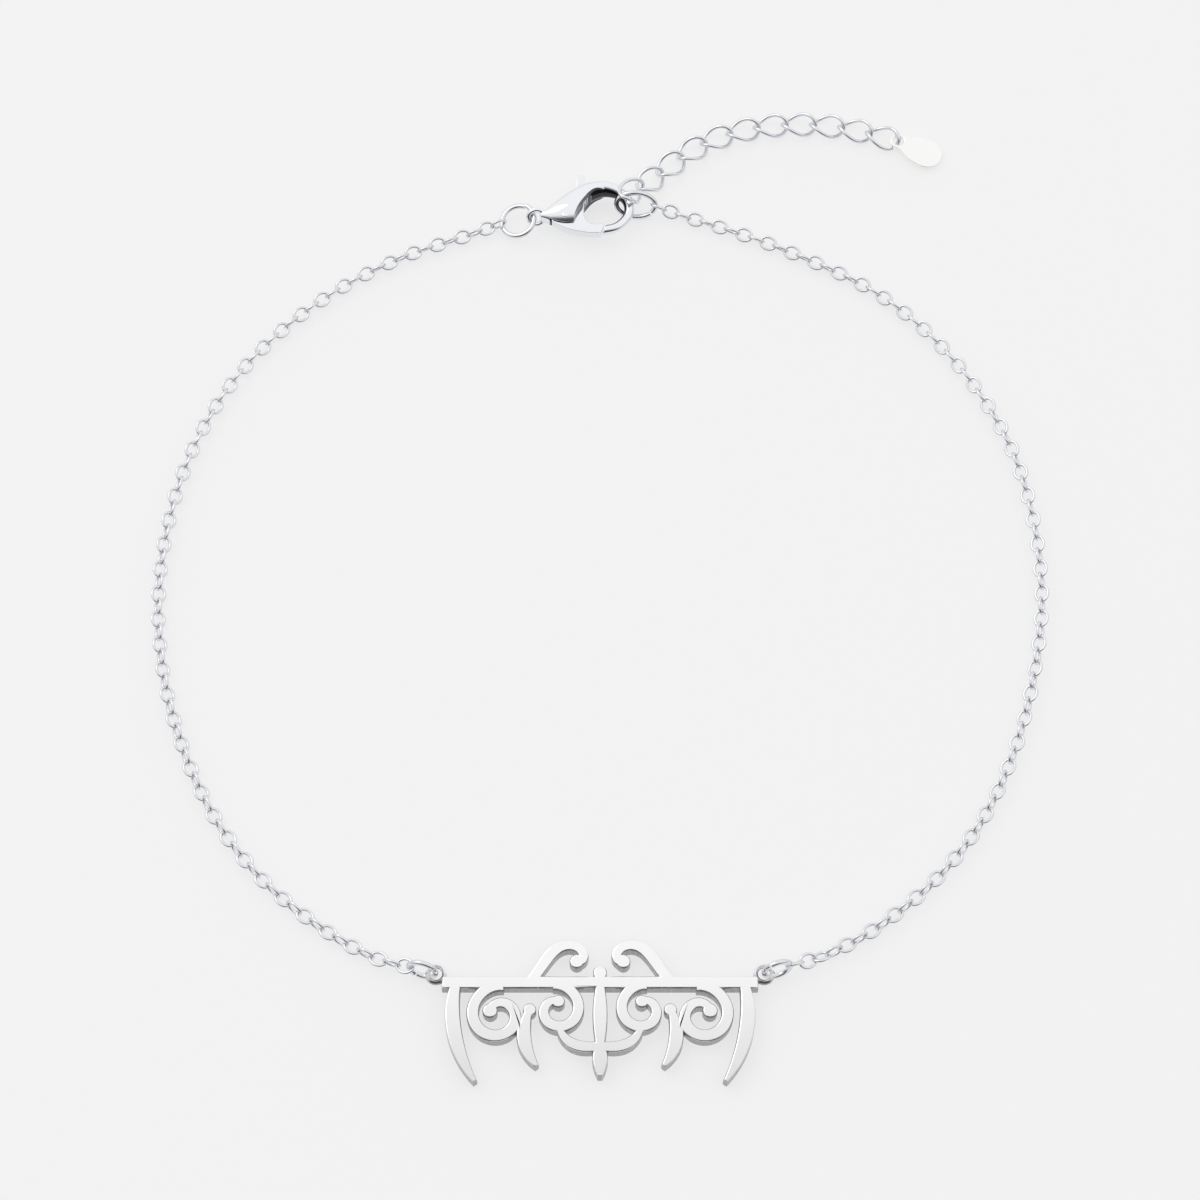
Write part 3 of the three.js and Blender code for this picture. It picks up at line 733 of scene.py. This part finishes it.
lobsterClasp = {
    "at": (-4.62, 27.15, 0), "heading": 6, "thickness": 2.1, "middleZ": 1.05,
    "voxel": 0.032, "rounds": 7,
    # drop-shaped shell: upper edge, lower edge and half height at each station from the neck to the hook
    "drop": [
        ((0.25, 0.22), (0.3, -0.28), 0.40), ((0.8, 0.56), (0.75, -0.56), 0.60), ((1.3, 0.93), (1.2, -0.82), 0.78),
        ((1.9, 1.36), (1.8, -1.03), 0.93), ((2.5, 1.76), (2.45, -1.10), 1.02), ((3.2, 2.17), (3.3, -1.0), 1.05),
        ((3.97, 2.42), (4.2, 0.0), 1.0), ((4.7, 2.42), (4.9, 1.0), 0.8), ((5.2, 2.25), (5.2, 1.35), 0.5),
    ],
    "dropSteps": 8, "dropSides": 64,
    # edge of the cheek, from below the pivot up to the hook, and the corners of the space it is cut from
    "cheek": [(2.45, -1.6), (2.63, -1.06), (2.78, -0.48), (3.11, 0.11), (3.62, 0.73), (4.21, 1.3), (4.77, 1.5),
              (5.5, 1.42)],
    "cheekSpace": [(7.2, 1.42), (7.2, -3.0), (2.45, -3.0)],
    "eye": {"radius": 0.58, "wire": 0.38, "tilt": -60, "steps": 56, "sides": 20},
    "hook": {
        "line": [(4.0, 1.7), (5.05, 1.88), (6.05, 1.53), (6.65, 0.85), (6.8, 0.1), (6.6, -0.65), (6.05, -1.25),
                 (5.4, -1.57), (4.3, -1.66)],
        "widths": (1.3, 0.76, 0.74), "heights": (1.7, 0.8, 0.76), "sides": 28, "stepsPerSpan": 10,
    },
    "pivot": {"x": 2.05, "y": -0.45, "pin": 0.24, "clearance": 0.07, "sunk": 0.2,
              # radius and drop below the crown of each ring of the rivet's domed end
              "dome": [(0.02, 0), (0.1, 0.006), (0.17, 0.022), (0.215, 0.045)], "domeDrop": 0.07},
    "slotGap": 0.09, "tipRadius": 2.9, "tipGap": 0.12, "hookTopY": -0.8, "leverTopY": -0.4,
    "trimCorner": (9, -5),
    # painted shade on walls that face the middle of the opening: from and to which facing, and how far out
    "recessShade": {"middle": (4.85, 0.0), "facing": (0.3, 0.75), "reach": 2.9},
    "slot": [(0.9, -3), (3.85, -3), (3.85, 2.0), (4.15, 3.8), (1.6, 3.8), (1.95, 1.25), (1.75, 0.8), (1.4, 0.45),
             (0.9, 0.1)],
}

claspLever = {
    "thickness": 0.7, "voxel": 0.028, "rounds": 6,
    "front": [(5.4, -1.28), (4.2, -1.24), (3.75, -1.08), (3.5, -0.7), (3.42, -0.1), (3.55, 0.5), (3.68, 1.2),
              (3.72, 2.0)],
    "tab": [(3.84, 2.95), (3.7, 3.06), (3.42, 3.08), (3.26, 2.98)],
    "back": [(3.26, 2.98), (3.1, 2.1), (2.75, 1.0), (2.2, 0.3), (1.5, 0.05), (1.15, -0.3), (1.05, -0.62)],
    "lower": [(1.05, -0.62), (1.5, -1.02), (2.3, -1.5), (3.3, -1.83), (4.0, -1.97), (5.4, -2.02)],
}


def flatSpline(points, stepsPerSpan=10):
    return [(p.x, p.y) for p in splineThrough(points, stepsPerSpan)]


def hookMesh():
    hook = lobsterClasp["hook"]
    line = splineThrough(hook["line"], hook["stepsPerSpan"])
    last = len(line) - 1
    rings = []
    for i, point in enumerate(line):
        ahead = (line[min(i + 1, last)] - line[max(i - 1, 0)]).normalized()
        width, height = along(hook["widths"], i / last) / 2, along(hook["heights"], i / last) / 2
        ring = []
        for k in range(hook["sides"]):
            a = 2 * math.pi * k / hook["sides"]
            side = width * math.cos(a)
            ring.append((point.x - ahead.y * side, point.y + ahead.x * side,
                         lobsterClasp["middleZ"] + height * math.sin(a)))
        rings.append(ring)
    return tubeMesh(rings, capped=True)


def eyeMesh():
    eye = lobsterClasp["eye"]
    lean = Matrix.Rotation(math.radians(-eye["tilt"]), 4, "X")
    tilt = Matrix.Translation((0, 0, lobsterClasp["middleZ"])) @ lean
    rings = []
    for i in range(eye["steps"]):
        a = 2 * math.pi * i / eye["steps"]
        outward = Vector((math.cos(a), math.sin(a), 0))
        ring = []
        for k in range(eye["sides"]):
            b = 2 * math.pi * k / eye["sides"]
            spot = outward * (eye["radius"] + eye["wire"] / 2 * math.cos(b))
            ring.append(tilt @ (spot + Vector((0, 0, eye["wire"] / 2 * math.sin(b)))))
        rings.append(ring)
    return tubeMesh(rings, closed=True)


def throughDisc(radius):
    pivot = lobsterClasp["pivot"]
    return prismMesh(discOutline(pivot["x"], pivot["y"], radius, 96), -1, lobsterClasp["thickness"] + 2)


def gateArc(radius, topY, steps=60):
    # the gate's reach about its pivot, from topY down
    pivot = lobsterClasp["pivot"]
    start = math.asin((topY - pivot["y"]) / radius)
    arc = []
    for i in range(steps + 1):
        a = start - (start + math.pi / 2) * i / steps
        arc.append((pivot["x"] + radius * math.cos(a), pivot["y"] + radius * math.sin(a)))
    return arc


def gateRoomMesh(radius, topY):
    # the part of the gate's sweep that lies below topY
    arc = gateArc(radius, topY) + [(lobsterClasp["pivot"]["x"], topY)]
    return prismMesh(arc, -1, lobsterClasp["thickness"] + 2)


def tipTrimMesh(radius, topY):
    # what lies past the gate's reach, below topY
    far, low = lobsterClasp["trimCorner"]
    arc = gateArc(radius, topY) + [(lobsterClasp["pivot"]["x"], low), (far, low), (far, topY)]
    return prismMesh(arc, -1, lobsterClasp["thickness"] + 2)


def placeClasp(mesh):
    return placed(mesh, lobsterClasp["at"], Euler((0, 0, math.radians(lobsterClasp["heading"]))))


def dropMesh():
    clasp = lobsterClasp
    upper = splineThrough([row[0] for row in clasp["drop"]], clasp["dropSteps"])
    lower = splineThrough([row[1] for row in clasp["drop"]], clasp["dropSteps"])
    heights = splineThrough([(i, row[2]) for i, row in enumerate(clasp["drop"])], clasp["dropSteps"])
    rings = []
    for u, v, h in zip(upper, lower, heights):
        ring = []
        for k in range(clasp["dropSides"]):
            a = 2 * math.pi * k / clasp["dropSides"]
            spot = (u + v) / 2 + (u - v) / 2 * math.cos(a)
            ring.append((spot.x, spot.y, clasp["middleZ"] + h.y * math.sin(a)))
        rings.append(ring)
    return tubeMesh(rings, capped=True)


def markRecessShade(mesh):
    # painted shade: walls facing the opening's middle get a mark from 0 to 1 that darkens them
    recessShade = lobsterClasp["recessShade"]
    low, high = recessShade["facing"]
    marks = mesh.attributes.new("recessShade", "FLOAT", "POINT")
    for mark, vertex in zip(marks.data, mesh.vertices):
        inward = Vector(recessShade["middle"]) - vertex.co.xy
        if inward.length < recessShade["reach"]:
            facing = vertex.normal.xy.dot(inward.normalized())
            mark.value = min(max((facing - low) / (high - low), 0), 1)


def makeClaspBody():
    clasp = lobsterClasp
    space = prismMesh(flatSpline(clasp["cheek"]) + clasp["cheekSpace"], -1, clasp["thickness"] + 2)
    hook = addObject("hook", hookMesh())
    room = addObject("room", gateRoomMesh(clasp["tipRadius"] + clasp["tipGap"], clasp["hookTopY"]))
    cut = hook.modifiers.new("gate room", "BOOLEAN")
    cut.operation = "DIFFERENCE"
    cut.solver = "EXACT"
    cut.object = room
    hookCut = evaluated(hook, "hook")
    bpy.data.objects.remove(room, do_unlink=True)
    slotHeight = claspLever["thickness"] + 2 * clasp["slotGap"]
    slot = prismMesh(clasp["slot"], clasp["middleZ"] - slotHeight / 2, slotHeight)
    mesh = castSolid("claspBody", dropMesh(), [
        ("DIFFERENCE", space), ("UNION", hookCut), ("UNION", eyeMesh()), ("DIFFERENCE", slot),
    ], clasp["voxel"], clasp["rounds"])
    # painted shade on the clasp's inner walls
    markRecessShade(mesh)
    finishPiece("clasp_casting", placeClasp(mesh), [silver["clasp"]], "clasp_silver", body, "clasp_body")


def makeLever():
    clasp, lever = lobsterClasp, claspLever
    outline = flatSpline(lever["front"]) + lever["tab"][:-1] + flatSpline(lever["back"])[:-1]
    outline += flatSpline(lever["lower"])
    base = prismMesh(outline, clasp["middleZ"] - lever["thickness"] / 2, lever["thickness"])
    trim = tipTrimMesh(clasp["tipRadius"], clasp["leverTopY"])
    hole = throughDisc(clasp["pivot"]["pin"] + clasp["pivot"]["clearance"])
    cuts = [("DIFFERENCE", trim), ("DIFFERENCE", hole)]
    mesh = castSolid("claspLever", base, cuts, lever["voxel"], lever["rounds"])
    finishPiece("clasp_gate_lever", placeClasp(mesh), [silver["clasp"]], "clasp_silver", "clasp_lever",
                "clasp_lever")


def makePin():
    # rivet with domed ends, turned about the pivot
    clasp, pivot = lobsterClasp, lobsterClasp["pivot"]
    half = clasp["middleZ"] - pivot["sunk"]
    profile = [(r, half - drop) for r, drop in pivot["dome"]] + [(pivot["pin"], half - pivot["domeDrop"])]
    profile += [(r, -z) for r, z in reversed(profile)]
    rings = []
    for r, z in profile:
        outline = discOutline(pivot["x"], pivot["y"], r, 32)
        rings.append([(x, y, clasp["middleZ"] + z) for x, y in outline])
    mesh = tubeMesh(rings, capped=True)
    smoothByAngle(mesh, 40)
    finishPiece("clasp_rivet", placeClasp(mesh), [silver["clasp"]], "clasp_silver", body, "clasp_pin")


makeClaspBody()
makeLever()
makePin()
print("lobster clasp cast")


# Studio: pale floor, white surroundings that darken towards the horizon, and the camera

studio = {
    "floorColour": 0.22, "floorGlow": 0.69, "floorSize": 3.0,
    # how far a direction faces the camera's side, brightness there
    "sky": [(0.0, 1.0), (0.36, 0.98), (0.55, 0.68), (0.72, 0.18), (0.86, 0.08), (1.0, 0.1)],
    "sideShade": 0.45,  # how far the low sky at the sides is darkened
    "skyStrength": 1.0,
    "lamp": {"at": (-0.28, 0.22, 0.42), "size": 0.3, "power": 0.3},
}

shot = {"aim": (0, -2.76, 0), "elevation": 65, "distance": 194.3, "lens": 85}


def makeFloor():
    size = studio["floorSize"]
    bm = bmesh.new()
    corners = [(-size, -size), (size, -size), (size, size), (-size, size)]
    bm.faces.new([bm.verts.new((x, y, -0.00002)) for x, y in corners])
    floor = addObject("floor", meshFrom("floor", bm))
    material = bpy.data.materials.new("floorPale")
    material.use_nodes = True
    shader = material.node_tree.nodes["Principled BSDF"]
    pale, glow = studio["floorColour"], studio["floorGlow"]
    shader.inputs["Base Color"].default_value = (pale, pale, pale, 1)
    shader.inputs["Roughness"].default_value = 0.9
    shader.inputs["Specular IOR Level"].default_value = 0
    shader.inputs["Emission Color"].default_value = (1, 1, 1, 1)
    shader.inputs["Emission Strength"].default_value = glow
    floor.data.materials.append(material)


def makeSky():
    world = bpy.data.worlds.new("studio")
    world.use_nodes = True
    tree = world.node_tree
    tree.nodes.clear()
    way = put(tree, "ShaderNodeSeparateXYZ", {0: put(tree, "ShaderNodeTexCoord").outputs["Generated"]}).outputs
    ramp = put(tree, "ShaderNodeValToRGB", {0: mathNode(tree, "MULTIPLY", way["Y"], -1.0)})
    stops = ramp.color_ramp.elements
    while len(stops) < len(studio["sky"]):
        stops.new(0.5)
    for stop, (facing, level) in zip(stops, studio["sky"]):
        stop.position = facing
        stop.color = (level, level, level, 1)
    # the low sky at the sides is greyer, and behind the object it stays bright
    low = put(tree, "ShaderNodeMapRange", {0: way["Z"], 1: 0.5, 2: 0.15, 3: 0.0, 4: studio["sideShade"]}).outputs[0]
    side = put(tree, "ShaderNodeMapRange", {0: way["Y"], 1: 0.6, 2: -0.1, 3: 0.0, 4: 1.0}).outputs[0]
    shade = mathNode(tree, "SUBTRACT", 1.0, mathNode(tree, "MULTIPLY", low, side))
    strength = mathNode(tree, "MULTIPLY", shade, studio["skyStrength"])
    sky = put(tree, "ShaderNodeBackground", {"Color": ramp.outputs[0], "Strength": strength})
    put(tree, "ShaderNodeOutputWorld", {0: sky.outputs[0]})
    bpy.context.scene.world = world


def makeLamp():
    lamp = studio["lamp"]
    data = bpy.data.lights.new("softbox", "AREA")
    data.size = lamp["size"]
    data.energy = lamp["power"]
    obj = bpy.data.objects.new("softbox", data)
    obj.location = lamp["at"]
    obj.rotation_euler = Vector(lamp["at"]).to_track_quat("Z", "Y").to_euler()
    bpy.context.scene.collection.objects.link(obj)


def makeCamera():
    tilt = math.radians(shot["elevation"])
    back = shot["distance"] * Vector((0, -math.cos(tilt), math.sin(tilt)))
    data = bpy.data.cameras.new("camera")
    data.lens = shot["lens"]
    data.sensor_width = 36
    data.clip_start = 0.001
    camera = bpy.data.objects.new("camera", data)
    camera.location = mm * (Vector(shot["aim"]) + back)
    camera.rotation_euler = (math.pi / 2 - tilt, 0, 0)
    bpy.context.scene.collection.objects.link(camera)
    bpy.context.scene.camera = camera


makeFloor()
makeSky()
makeLamp()
makeCamera()
bpy.context.scene.view_settings.view_transform = "Standard"
print("studio set")
